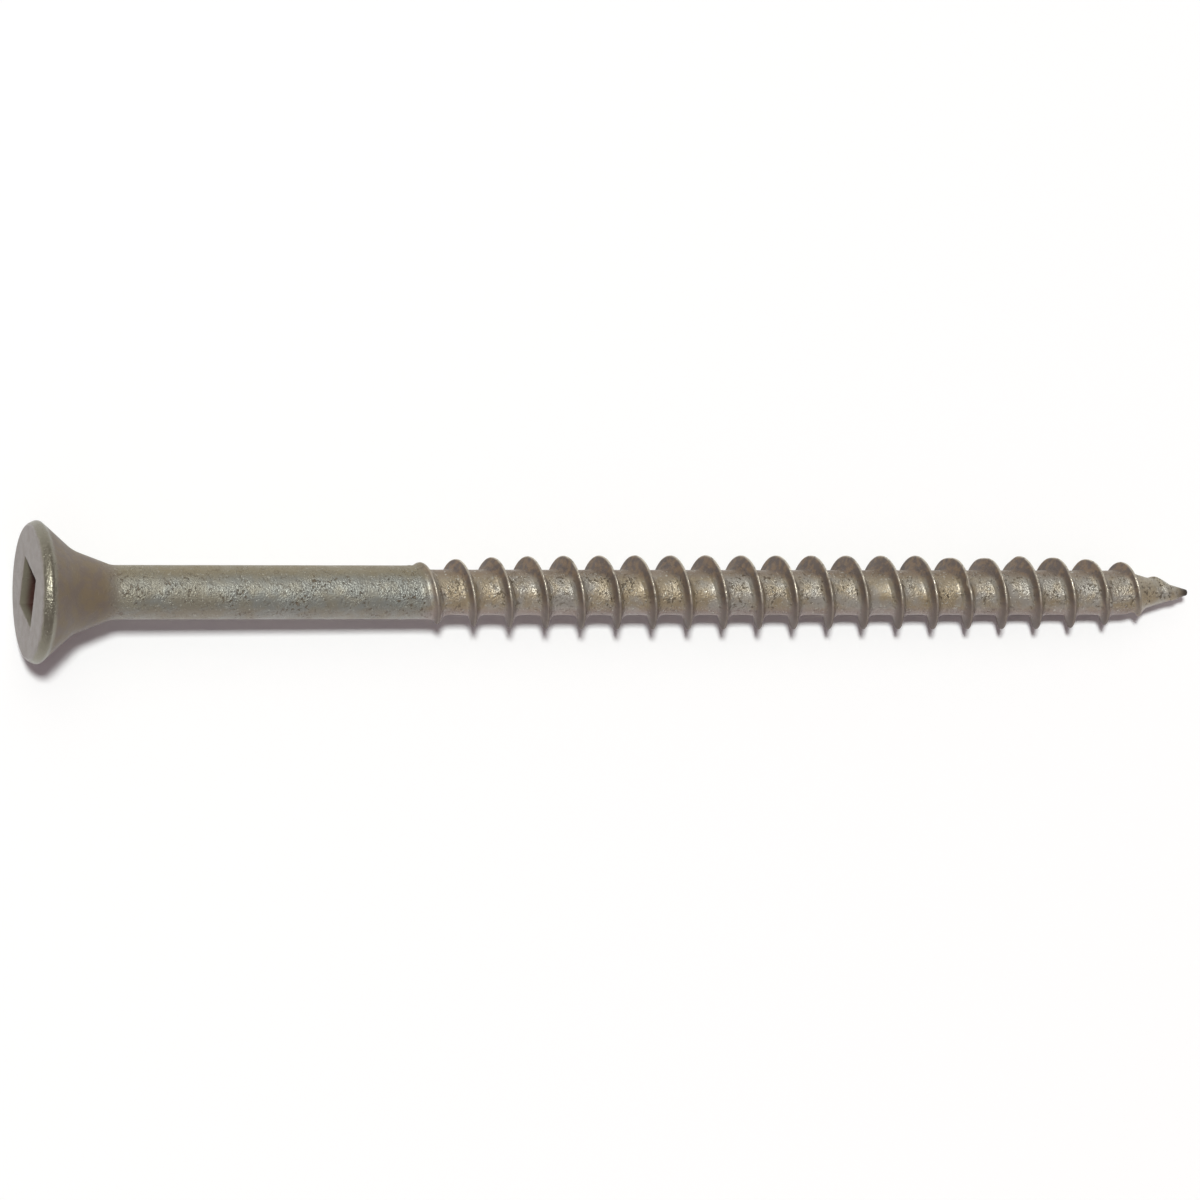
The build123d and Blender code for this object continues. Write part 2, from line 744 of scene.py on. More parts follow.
    def sizes(self) -> dict[str, float]:
        """The thread's sizes as the node tree takes them.

        Returns:
            Each size by the name of its input. Lengths are in metres and the angle in radians.
        """
        lengths = {name: getattr(self, name) * MM for name in THREAD_LENGTHS}
        lengths["point_start"] = (self.length - self.point_length) * MM
        shapes = {name: getattr(self, name) for name in THREAD_SHAPES}
        shapes["corner_angle"] = math.radians(self.drive_corner_angle)
        return {as_title(name): size for name, size in (lengths | shapes).items()}

    def counts(self) -> dict[str, int]:
        """The whole numbers that the node tree takes.

        Returns:
            Each number by the name of its input.
        """
        before = math.ceil((self.first_crest - self.winding_start) / self.pitch) + 1
        after = math.ceil((self.winding_end - self.first_crest) / self.pitch) + 1
        return {
            "Steps Round": self.steps_round,
            "Profile Steps": self.profile_steps,
            "Turns": before + after,
            "Turns Before": before,
            "Seed": self.seed,
        }

    def lay_down(self) -> Matrix:
        """How the straight screw is turned and moved to lie where the CAD screw lies.

        Returns:
            The turn and move from the straight screw to the frame.
        """
        mounts = {mount["name"]: mount for mount in frame["record"]["mounts"]}
        face = mounts["square_drive"]
        inward = -Vector(face["axis"]).normalized()
        side = Vector((0, 1, 0))
        upward = inward.cross(side).normalized()
        turned = Matrix((inward, side, upward)).transposed().to_4x4()
        return Matrix.Translation(Vector(face["pos_m"])) @ turned

    def build(self, finish: bpy.types.Material) -> bpy.types.Object:
        """Makes the screw as one plain mesh and lays it in the CAD screw's place.

        Args:
            finish: The material of the whole screw.

        Returns:
            The finished piece.
        """
        blank = bpy.data.objects.new("screw_blank", self.turned_mesh())
        bpy.context.scene.collection.objects.link(blank)
        modifier = blank.modifiers.new("wound_thread", "NODES")
        modifier.node_group = ThreadTree(self).tree
        values = {**self.sizes(), **self.counts(), "Finish": finish}
        for item in modifier.node_group.interface.items_tree:
            if item.in_out == "INPUT" and item.name in values:
                modifier[item.identifier] = values[item.name]
        mesh = bpy.data.meshes.new_from_object(
            blank.evaluated_get(bpy.context.evaluated_depsgraph_get())
        )
        bpy.data.objects.remove(blank)
        mesh.name = "coated_deck_screw"
        mesh.transform(self.lay_down())
        mesh.set_sharp_from_angle(angle=math.radians(self.sharp_degrees))
        piece = bpy.data.objects.new("coated_deck_screw", mesh)
        bpy.context.scene.collection.objects.link(piece)
        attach(piece, "root")
        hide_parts("deck_screw")
        return piece


class ThreadTree:
    """The node tree that winds the thread between two rings of the turned body."""

    def __init__(self, screw: DeckScrew) -> None:
        """Builds the tree with the screw's sizes as its inputs.

        Args:
            screw: The screw whose thread it winds.
        """
        self.screw = screw
        self.tree = bpy.data.node_groups.new("wound_thread", "GeometryNodeTree")
        kinds = {
            "Geometry": Port.GEOMETRY,
            **dict.fromkeys(screw.sizes(), Port.FLOAT),
            **dict.fromkeys(screw.counts(), Port.WHOLE),
            "Finish": Port.MATERIAL,
        }
        for name, kind in kinds.items():
            self.tree.interface.new_socket(name, in_out="INPUT", socket_type=kind.value)
        self.tree.interface.new_socket(
            "Geometry", in_out="OUTPUT", socket_type=Port.GEOMETRY.value
        )
        self.given = self.tree.nodes.new("NodeGroupInput")
        self.finish(self.wound_strip())

    def size(self, name: str) -> Value:
        """One of the tree's inputs as a value."""
        return Value(self.tree, self.given.outputs[name])

    def flat_strip(self) -> tuple[bpy.types.NodeSocket, Value, Value]:
        """A flat grid, one row for each step round the screw and one column for each step across.

        Returns:
            The grid, how far each point is wound in turns, and how far it lies across one
            turn's width, from -1 to 1, with the columns crowded towards the crest.
        """
        grid = self.tree.nodes.new("GeometryNodeMeshGrid")
        grid.inputs["Size X"].default_value = 1.0
        grid.inputs["Size Y"].default_value = 1.0
        turns = self.size("Turns")
        connect(self.tree, self.size("Steps Round") * turns + 1.0, grid.inputs["Vertices X"])
        connect(self.tree, self.size("Profile Steps") + 1.0, grid.inputs["Vertices Y"])
        place = self.tree.nodes.new("GeometryNodeInputPosition")
        lengthwise, crosswise, _ = parted(Value(self.tree, place.outputs[0]))
        across = crosswise * 2.0
        crowding = self.screw.crest_crowding
        crowded = across * crowding + across * across * across * (1.0 - crowding)
        return grid.outputs["Mesh"], (lengthwise + 0.5) * turns, crowded

    def core(self, along: Value) -> Value:
        """The radius of the body under the thread, which narrows towards the tip.

        Args:
            along: Distance from the face of the head.

        Returns:
            The radius.
        """
        share = ((along - self.size("Point Start")) / self.size("Point Length")).at_least(0.0)
        slope = self.size("Tip Radius") - self.size("Root Radius")
        return self.size("Root Radius") + slope * share

    def body(self, along: Value, angle: Value) -> Value:
        """The radius of the body: the shank, its slanting shoulder, and the core.

        Args:
            along: Distance from the face of the head.
            angle: The way round the axis in radians.

        Returns:
            The radius.
        """
        shank_end = self.size("Shank End") - self.size("Shank End Slant") * angle.apply(
            Operation.COSINE
        )
        shoulder = ((along - shank_end) / self.size("Shoulder")).within_one()
        step = self.size("Shank Radius") - self.size("Root Radius")
        return self.core(along) + step * (1.0 - shoulder)

    def crest(self, crest_along: Value) -> Value:
        """The radius of the crest, which grows out of the shank and fades into the point.

        Args:
            crest_along: Where the nearest crest is along the axis.

        Returns:
            The radius, with the crest's ragged places and dents.
        """
        shank = self.size("Shank Radius")
        growth = (self.size("Thread Start") - crest_along) / self.size("Run In")
        full = self.size("Crest Radius")
        full = full - (full - shank) * growth.apply(Operation.EXPONENT)
        full = full.at_least(shank)
        fade = 1.0 - (self.size("Thread End") - crest_along) / self.size("Run Out")
        fade = fade.within_one().power(2.0)
        crest = self.core(crest_along) + (full - self.size("Root Radius")) * (1.0 - fade)
        spot = as_vector(self.tree, crest_along / self.size("Pitch"), self.size("Seed"), 0.0)
        ragged = noise(spot, self.screw.crest_rags_each_turn) - 0.5
        crest = crest + ragged * self.size("Crest Raggedness")
        for dent in self.screw.dents:
            crest = crest - self.near(dent, crest_along) * (dent.depth * MM)
        return crest

    def near(self, dent: Dent, crest_along: Value) -> Value:
        """How near a place on the crest is to a dent.

        Args:
            dent: The dent.
            crest_along: Where the nearest crest is along the axis.

        Returns:
            1 at the dent's middle, falling to 0 away from it.
        """
        spot = self.screw.first_crest * MM + dent.turn * self.screw.pitch * MM
        return crest_along.bell(spot, dent.degrees / 360 * self.screw.pitch * MM)

    def ridge(self, offset: Value, crest_along: Value, height: Value) -> tuple[Value, Value]:
        """The ridge's section: a narrow land and two hollow flanks of different widths.

        Args:
            offset: Distance from the nearest crest, towards the tip.
            crest_along: Where that crest is along the axis.
            height: How far the crest stands out of the body.

        Returns:
            How far the surface stands out of the body, and the share of the ridge's height.
        """
        size = self.size
        away = offset.apply(Operation.ABSOLUTE)
        blunt = crest_along.rise(size("Blunt Start"), size("Blunt End"))
        tip_side = offset.apply(Operation.IS_ABOVE, 0.0)
        foot = size("Head Side Foot").toward(size("Tip Side Foot"), tip_side)
        foot = foot.toward(size("Blunt Foot"), blunt)
        hollow = size("Head Side Hollow").toward(size("Tip Side Hollow"), tip_side)
        hollow = hollow.toward(size("Blunt Hollow"), blunt)
        land = size("Crest Half Land").toward(size("Blunt Land"), blunt)
        fin = (1.0 - ((away - land) / (foot - land)).within_one()).power(hollow)
        rounding = (away / land).at_most(1.0)
        rounding = rounding * rounding * size("Crest Rounding")
        hollow_height = size("Crest Radius") * self.screw.root_hollow_share
        belly = (1.0 - away / (size("Pitch") * 0.5)).power(2.0) * size("Root Hollow")
        belly = belly * (height / hollow_height).within_one()
        burr = offset.bell(size("Burr Offset"), size("Burr Width"))
        burr = burr * crest_along.bell(size("Shank End") + size("Burr Start"), size("Burr Length"))
        raised = (height - rounding).at_least(0.0) * fin + belly * (1.0 - fin)
        return raised + burr * size("Burr Height"), fin

    def wound_strip(self) -> bpy.types.NodeSocket:
        """Winds the flat grid round the axis and gives each point its radius.

        Returns:
            The wound strip.
        """
        grid, wound, crowded = self.flat_strip()
        pitch = self.size("Pitch")
        corner_turn = self.size("Corner Angle") / TURN
        first = self.size("First Crest") + pitch * corner_turn
        along = first + pitch * (wound + crowded * 0.5 - self.size("Turns Before"))
        along = along.at_least(self.size("Winding Start")).at_most(self.size("Winding End"))
        turned = wound + corner_turn
        angle = turned * TURN
        offset = from_crest(along, turned, self.size("First Crest"), pitch)
        crest_along = along - offset
        body = self.body(along, angle)
        height = (self.crest(crest_along) - body).at_least(0.0)
        raised, fin = self.ridge(offset, crest_along, height)
        radius = body + raised
        leans = [dent for dent in self.screw.dents if dent.lean]
        lean = sum(self.near(dent, crest_along) * (dent.lean * MM) for dent in leans)
        along = along + lean * fin.power(self.screw.lean_fall)
        sideways = radius * angle.apply(Operation.COSINE)
        upward = radius * angle.apply(Operation.SINE)
        moved = self.tree.nodes.new("GeometryNodeSetPosition")
        self.tree.links.new(grid, moved.inputs["Geometry"])
        connect(self.tree, as_vector(self.tree, along, sideways, upward), moved.inputs["Position"])
        return moved.outputs[0]

    def finish(self, strip: bpy.types.NodeSocket) -> None:
        """Joins the wound strip to the turned body and gives the whole its material.

        Args:
            strip: The wound strip.
        """
        nodes, links = self.tree.nodes, self.tree.links
        joined = nodes.new("GeometryNodeJoinGeometry")
        links.new(strip, joined.inputs[0])
        links.new(self.given.outputs["Geometry"], joined.inputs[0])
        merged = nodes.new("GeometryNodeMergeByDistance")
        merged.inputs["Distance"].default_value = self.screw.seam_reach * MM
        smooth = nodes.new("GeometryNodeSetShadeSmooth")
        real = nodes.new("GeometryNodeRealizeInstances")
        coated = nodes.new("GeometryNodeSetMaterial")
        links.new(self.given.outputs["Finish"], coated.inputs["Material"])
        result = nodes.new("NodeGroupOutput")
        steps = (joined, merged, smooth, real, coated, result)
        for before, after in zip(steps, steps[1:]):
            links.new(before.outputs[0], after.inputs["Geometry"])


@dataclass(frozen=True)
class Cloud:
    """A random mask: noise of one size, with the span over which it goes from 0 to 1."""

    scale: float
    detail: float
    span: Span

    def over(self, place: Value) -> Value:
        """The mask at a place."""
        return noise(place, self.scale, self.detail).rise(*self.span)


def strength(parts: Strength, share: Value) -> Value:
    """A strength that grows from its first part by as much of its second as the share says."""
    return share * parts[1] + parts[0]


@dataclass(frozen=True)
class Surface:
    """Where a point of the surface lies on the straight screw, in millimetres."""

    place: Value
    along: Value
    side: Value
    out: Value
    offset: Value


@dataclass(frozen=True)
class ZoneEdges:
    """Where the screw's regions begin and end, each as the span of a soft edge."""

    # Along the axis, in two cases from the end of the shank or of the neck
    thread_from_shank_end: Span = (-1.2, 0.4)
    head_from_neck_end: Span = (-1.0, 0.8)
    last_crest: Span = (71.8, 73.0)
    tip: Span = (75.1, 76.1)
    rim_along: Span = (0.75, 1.1)
    face_along: Span = (0.02, 0.15)
    recess_mouth: Span = (0.02, 0.06)
    # Where the painted shade in the square drive deepens.
    recess_painted_shade: Span = (0.2, 0.75)
    recess_bottom: Span = (3.2, 3.25)
    # Out from the axis
    rim_out: Span = (4.0, 4.1)
    face_out: Span = (1.6, 1.7)
    recess_out: Span = (2.37, 2.40)
    # From the nearest crest towards the tip
    # Where the head-facing slope gets the painted flank shade, wider on the top side.
    slope: Span = (-0.42, -0.1)
    slope_widening: Span = (-0.48, -0.17)
    flank_start: Span = (-0.27, -0.2)
    flank_end: Span = (-0.1, -0.03)
    crest_end: Span = (0.08, 0.14)
    # Where the painted line of shade lies along the ridge's foot, past the crest.
    foot_start: Span = (0.37, 0.42)
    foot_end: Span = (0.47, 0.53)
    # Across the screw, from its middle towards +Y
    # Where the painted highlight on the crest grows towards the top side.
    painted_crest_highlight_side: Span = (-1.0, 0.2)
    foot_side: Span = (-1.1, -0.3)
    widening_side: Span = (0.8, 1.5)
    # Where the painted shade on the top side begins and where it becomes full.
    painted_upper_shade_side: Span = (0.7, 1.3)
    # Where the painted shade on the bottom side is full, and where it has faded out.
    painted_lower_shade_side: Span = (-1.35, -0.75)
    # Where the flanks stop being seen edge-on, which ends their darker painted shade.
    edge_on_side: Span = (0.6, 1.5)
    # Where the flanks' painted shade turns lighter towards the bottom side.
    below_side: Span = (-1.2, -0.1)
    # How far the edges of the rim and the face wander, and in bumps of which size
    wandering: float = 0.35
    wandering_scale: float = 1.3
    wandering_detail: float = 2.0
    rim_out_share: float = 0.5
    face_along_share: float = 0.4
    # How much of the pits' depth the head and the rim lack
    head_smoothness: float = 0.75
    rim_smoothness: float = 0.3
    foot_strength: float = 0.8


class Zones:
    """The screw's regions as masks, 1 inside a region and 0 outside it."""

    def __init__(self, at: Surface, screw: DeckScrew, edges: ZoneEdges, foot: Value) -> None:
        """Works out the masks.

        Args:
            at: Where the point of the surface lies.
            screw: The screw, whose sizes say where its parts are.
            edges: Where the regions begin and end.
            foot: A mask that breaks up the painted line of shade along the foot of the ridge.
        """
        start, end = edges.thread_from_shank_end
        self.beyond_shank = at.along.rise(screw.shank_end + start, screw.shank_end + end)
        self.threaded = self.beyond_shank * at.along.drop(*edges.last_crest)
        start, end = edges.head_from_neck_end
        self.headed = at.along.drop(screw.neck_end + start, screw.neck_end + end)
        widening = at.side.rise(*edges.widening_side)
        start = edges.slope[0] + widening * edges.slope_widening[0]
        end = edges.slope[1] + widening * edges.slope_widening[1]
        beside = at.offset.drop(*edges.crest_end) * self.threaded
        self.slope = at.offset.rise(start, end) * beside
        # Painted shade on the flank near the crest, and a broken painted line of shade along the
        # ridge's foot on the tip side.
        painted_flank_shade = at.offset.rise(*edges.flank_start) * at.offset.drop(*edges.flank_end)
        line = at.offset.rise(*edges.foot_start) * at.offset.drop(*edges.foot_end)
        line = line * at.side.rise(*edges.foot_side) * foot
        self.painted_flank_shade = (painted_flank_shade + line * edges.foot_strength) * self.threaded
        self.sides = self.slope.at_least(self.painted_flank_shade)
        uneven = noise(at.place, edges.wandering_scale, edges.wandering_detail) - 0.5
        uneven = uneven * edges.wandering
        rim = (at.along + uneven).drop(*edges.rim_along)
        self.rim = rim * (at.out + uneven * edges.rim_out_share).rise(*edges.rim_out)
        face = (at.along + uneven * edges.face_along_share).drop(*edges.face_along)
        self.face = face * at.out.rise(*edges.face_out)
        recess = at.out.drop(*edges.recess_out) * at.along.drop(*edges.recess_bottom)
        self.recess = recess * at.along.rise(*edges.recess_mouth)
        # Painted shade that deepens into the square drive.
        self.recess_painted_shade_mask = at.along.rise(*edges.recess_painted_shade)
        self.tip = at.along.rise(*edges.tip)
        # Painted shade on the top side of the screw.
        self.upper = at.side.rise(*edges.painted_upper_shade_side)
        # Painted shade on the bottom side of the screw.
        self.lower = at.side.drop(*edges.painted_lower_shade_side)
        self.edge_on = at.side.drop(*edges.edge_on_side)
        self.below = at.side.drop(*edges.below_side)
        smooth = self.headed * edges.head_smoothness
        self.smooth = smooth.toward(edges.rim_smoothness, self.rim)


@dataclass(frozen=True)
class CoatedSteel:
    """The screw's baked coating over steel, with painted highlights, glints and shade laid into
    its colour.
    """

    clean: Colour = (0.28, 0.29, 0.258, 1.0)
    patched: Colour = (0.285, 0.265, 0.20, 1.0)
    # Painted shade: a darker, yellower tone laid over the shank's top side.
    shank_painted_upper_shade: Colour = (0.25, 0.205, 0.115, 1.0)
    # Painted highlight: a pale colour laid in a band along the shank's lit side, weaker on the
    # thread.
    pale: Colour = (0.37, 0.372, 0.325, 1.0)
    thread_clean: Colour = (0.42, 0.395, 0.345, 1.0)
    thread_stained: Colour = (0.39, 0.315, 0.205, 1.0)
    # Painted shade: a dark brown laid over the thread's top side.
    thread_painted_upper_shade: Colour = (0.20, 0.145, 0.095, 1.0)
    # Painted shade: a mauve-brown laid over the bottom side, faint on the shank and strong on the
    # thread.
    painted_lower_shade: Colour = (0.27, 0.20, 0.18, 1.0)
    pit: Colour = (0.15, 0.12, 0.08, 1.0)
    # Painted glints: a bright colour laid on the raised specks to stand for sparkle.
    painted_glint: Colour = (0.60, 0.59, 0.52, 1.0)
    # Painted shade on the thread's flanks: dark and mottled, lighter on the bottom side;
    # shaded_flank is a darker painted shade where a flank is seen edge-on.
    painted_flank_shade: Colour = (0.103, 0.078, 0.064, 1.0)
    painted_flank_shade_mottled: Colour = (0.178, 0.12, 0.072, 1.0)
    painted_lower_flank_shade: Colour = (0.165, 0.125, 0.105, 1.0)
    shaded_flank: Colour = (0.075, 0.05, 0.032, 1.0)
    # Crest wear: partly real bare metal, partly a painted highlight that is brighter on the top
    # side.
    worn_and_painted_highlight: Colour = (0.58, 0.53, 0.43, 1.0)
    face: Colour = (0.225, 0.197, 0.18, 1.0)
    face_stained: Colour = (0.175, 0.152, 0.128, 1.0)
    rim: Colour = (0.225, 0.21, 0.158, 1.0)
    bugle: Colour = (0.163, 0.126, 0.094, 1.0)
    bugle_stained: Colour = (0.182, 0.139, 0.083, 1.0)
    recess_wall: Colour = (0.155, 0.14, 0.10, 1.0)
    # Painted shade: a dark red-brown laid deep in the square drive.
    recess_painted_shade: Colour = (0.045, 0.012, 0.006, 1.0)
    tip: Colour = (0.055, 0.04, 0.028, 1.0)
    pitted: Cloud = Cloud(0.5, 2.0, (0.38, 0.6))
    # Breaks up the painted line of shade along the ridge's foot.
    foot_breaks: Cloud = Cloud(1.1, 1.0, (0.35, 0.5))
    mottle: Cloud = Cloud(1.5, 3.0, (0.4, 0.62))
    flank_mottle: Cloud = Cloud(2.4, 3.0, (0.4, 0.62))
    gloss: Cloud = Cloud(0.55, 2.0, (0.42, 0.62))
    # Where across the screw the painted highlight band lies, and how wide it is.
    painted_highlight_middle: float = 0.55
    painted_highlight_width: float = 0.55
    # How strongly each colour shows on the shank, and what the thread adds to it: the painted
    # highlight band, the painted shade on the top and bottom sides, and the painted glints.
    painted_highlight_strength: Strength = (0.35, -0.14)
    painted_upper_shade_strength: Strength = (0.7, 0.2)
    painted_lower_shade_strength: Strength = (0.25, 0.6)
    painted_glint_strength: Strength = (0.25, 0.3)
    # How strongly the pits show, and what the more pitted stretches add to it.
    pit_strength: Strength = (0.35, 0.65)
    # How strongly the crest's wear shows below, and what the top side adds to it as painted
    # highlight.
    wear_and_painted_highlight_strength: Strength = (0.15, 0.85)
    # How strongly the other colours show.
    painted_lower_flank_shade_strength: float = 0.85
    flank_strength: float = 0.8
    shade_strength: float = 0.6
    face_stain_strength: float = 0.5
    grain_size: float = 0.11
    pit_size: float = 0.20
    pit_share: float = 0.21
    patch_size: float = 3.2
    wear_reach: float = 0.09
    relief: float = 0.13
    flank_evenness: float = 0.7
    metal_share: float = 0.6
    head_metal_loss: float = 0.65
    rim_metal: float = 0.7
    worn_metal: float = 0.85
    dullness: float = 0.43
    stain_dullness: float = 0.06
    head_dullness: float = 0.07
    thread_polish: float = 0.04
    speck_polish: float = 0.12
    slope_dullness: float = 0.75
    rim_dullness: float = 0.31
    worn_dullness: float = 0.3
    coat_share: float = 0.12
    coat_dullness: float = 0.3
    refraction: float = 1.7
    reflection_tint: Colour = (0.98, 0.985, 1.0, 1.0)
    edges: ZoneEdges = ZoneEdges()

    def surface(self, tree: bpy.types.NodeTree, screw: DeckScrew) -> Surface:
        """Finds where each point of the surface lies on the straight screw.

        Args:
            tree: The material's node tree.
            screw: The screw, which says how it was laid down.

        Returns:
            The point's place and its distances.
        """
        source = tree.nodes.new("ShaderNodeTexCoord")
        straight = tree.nodes.new("ShaderNodeMapping")
        straight.vector_type = "TEXTURE"
        spot, turn, _ = screw.lay_down().decompose()
        straight.inputs["Location"].default_value = spot
        straight.inputs["Rotation"].default_value = turn.to_euler()
        straight.inputs["Scale"].default_value = (MM, MM, MM)
        tree.links.new(source.outputs["Object"], straight.inputs["Vector"])
        place = Value(tree, straight.outputs[0])
        along, side, upward = parted(place)
        out = (side * side + upward * upward).apply(Operation.ROOT)
        turned = upward.apply(Operation.ANGLE, side) / TURN
        offset = from_crest(along, turned, screw.first_crest, screw.pitch)
        return Surface(place, along, side, out, offset)

    def colour(
        self, at: Surface, zones: Zones, tone: Value, rough: dict[str, Value], worn_and_painted_highlight: Value
    ) -> Value:
        """Lays the screw's colours over each other, with painted highlights, glints and shade
        among them.

        Args:
            at: Where the point of the surface lies.
            zones: The screw's regions.
            tone: The colour of the plain coating with its stains.
            rough: The masks of the pits and specks.
            worn_and_painted_highlight: The mask of the crest's wear, partly real and partly a
                painted highlight on its top side.

        Returns:
            The colour.
        """
        threaded = zones.threaded
        mottled = self.mottle.over(at.place)
        # Painted shade for the flanks: mottled, and lighter on the bottom side.
        sides = blend(self.flank_mottle.over(at.place), self.painted_flank_shade, self.painted_flank_shade_mottled)
        sides = blend(zones.below * self.painted_lower_flank_shade_strength, sides, self.painted_lower_flank_shade)
        # Painted highlight: a pale band along the lit side of the shank, weaker on the thread.
        painted_highlight_band = at.side.bell(self.painted_highlight_middle, self.painted_highlight_width)
        pits = rough["Pits"] * (1.0 - zones.smooth)
        # Painted glints: the specks away from the head and the flanks, which get a bright colour.
        specks = rough["Specks"] * (1.0 - zones.headed) * (1.0 - zones.sides)
        edge_on_flank = zones.painted_flank_shade * zones.edge_on
        # Painted shade for the top side: one colour on the shank, another on the thread.
        upper = blend(threaded, self.shank_painted_upper_shade, self.thread_painted_upper_shade)
        face = blend(mottled * self.face_stain_strength, self.face, self.face_stained)
        colour = tone
        for share, coat in (
            (painted_highlight_band * strength(self.painted_highlight_strength, threaded), self.pale),
            (pits, self.pit),
            (zones.upper * strength(self.painted_upper_shade_strength, threaded), upper),
            # Painted shade on the bottom side.
            (zones.lower * strength(self.painted_lower_shade_strength, threaded), self.painted_lower_shade),
            (zones.headed, blend(mottled, self.bugle, self.bugle_stained)),
            # Painted shade on the flanks, then a darker painted shade where they are seen edge-on.
            (zones.slope.at_least(edge_on_flank * self.flank_strength), sides),
            (edge_on_flank * (1.0 - zones.below) * self.shade_strength, self.shaded_flank),
            (specks * strength(self.painted_glint_strength, threaded), self.painted_glint),
            (zones.rim, self.rim),
            (zones.face, face),
            # Painted shade deeper in the square drive.
            (zones.recess, blend(zones.recess_painted_shade_mask, self.recess_wall, self.recess_painted_shade)),
            (zones.tip, self.tip),
            (worn_and_painted_highlight, self.worn_and_painted_highlight),
        ):
            colour = blend(share, colour, coat)
        return colour

    def material(self, screw: DeckScrew) -> bpy.types.Material:
        """Builds the coating's material.

        Args:
            screw: The screw that it is for, whose sizes say where its parts lie.

        Returns:
            The material.
        """
        material = bpy.data.materials.new("coated_steel")
        material.use_nodes = True
        tree = material.node_tree
        at = self.surface(tree, screw)
        zones = Zones(at, screw, self.edges, self.foot_breaks.over(at.place))
        rough = use_group(tree, pitting(), {
            "Place": at.place,
            "Grain Size": self.grain_size,
            "Pit Size": self.pit_size,
            "Pit Share": self.pit_share,
        })
        pitted = strength(self.pit_strength, self.pitted.over(at.place))
        rough["Pits"] = rough["Pits"] * pitted
        rough["Height"] = rough["Height"] * pitted
        tone = use_group(tree, staining(), {
            "Place": at.place,
            "Patch Size": self.patch_size,
            "Clean": blend(zones.beyond_shank, self.clean, self.thread_clean),
            "Stained": blend(zones.beyond_shank, self.patched, self.thread_stained),
        })
        crest = use_group(tree, edge_wear(), {
            "Place": at.place,
            "Distance": at.offset.apply(Operation.ABSOLUTE),
            "Reach": self.wear_reach,
        })
        # The top side, where the crest's bright colour is a painted highlight as well as wear.
        turned_up = at.side.rise(*self.edges.painted_crest_highlight_side)
        worn_and_painted_highlight = crest["Wear"] * zones.threaded * strength(self.wear_and_painted_highlight_strength, turned_up)

        shader = tree.nodes["Principled BSDF"]
        colour = self.colour(at, zones, tone["Colour"], rough, worn_and_painted_highlight)
        connect(tree, colour, shader.inputs["Base Color"])
        dull = self.dullness - zones.threaded * self.thread_polish
        dull = dull + tone["Stain"] * self.stain_dullness
        dull = dull - rough["Specks"] * self.speck_polish + zones.headed * self.head_dullness
        dull = dull.toward(self.slope_dullness, zones.slope).toward(self.rim_dullness, zones.rim)
        connect(tree, dull.toward(self.worn_dullness, worn_and_painted_highlight), shader.inputs["Roughness"])
        bare = self.metal_share * (1.0 - zones.headed * self.head_metal_loss)
        bare = bare * (1.0 - zones.sides)
        bare = bare.toward(self.rim_metal, zones.rim)
        bare = bare.toward(0.0, zones.face.at_least(zones.recess))
        connect(tree, bare.toward(self.worn_metal, worn_and_painted_highlight), shader.inputs["Metallic"])
        coat = self.gloss.over(at.place) * self.coat_share
        connect(tree, coat, shader.inputs["Coat Weight"])
        shader.inputs["Coat Roughness"].default_value = self.coat_dullness
        shader.inputs["IOR"].default_value = self.refraction
        shader.inputs["Specular Tint"].default_value = self.reflection_tint
        bump = tree.nodes.new("ShaderNodeBump")
        bump.inputs["Strength"].default_value = 1.0
        bump.inputs["Distance"].default_value = self.relief * MM
        relief = rough["Height"] * (1.0 - zones.smooth)
        relief = relief * (1.0 - zones.painted_flank_shade * self.flank_evenness)
        connect(tree, relief, bump.inputs["Height"])
        tree.links.new(bump.outputs[0], shader.inputs["Normal"])
        return material


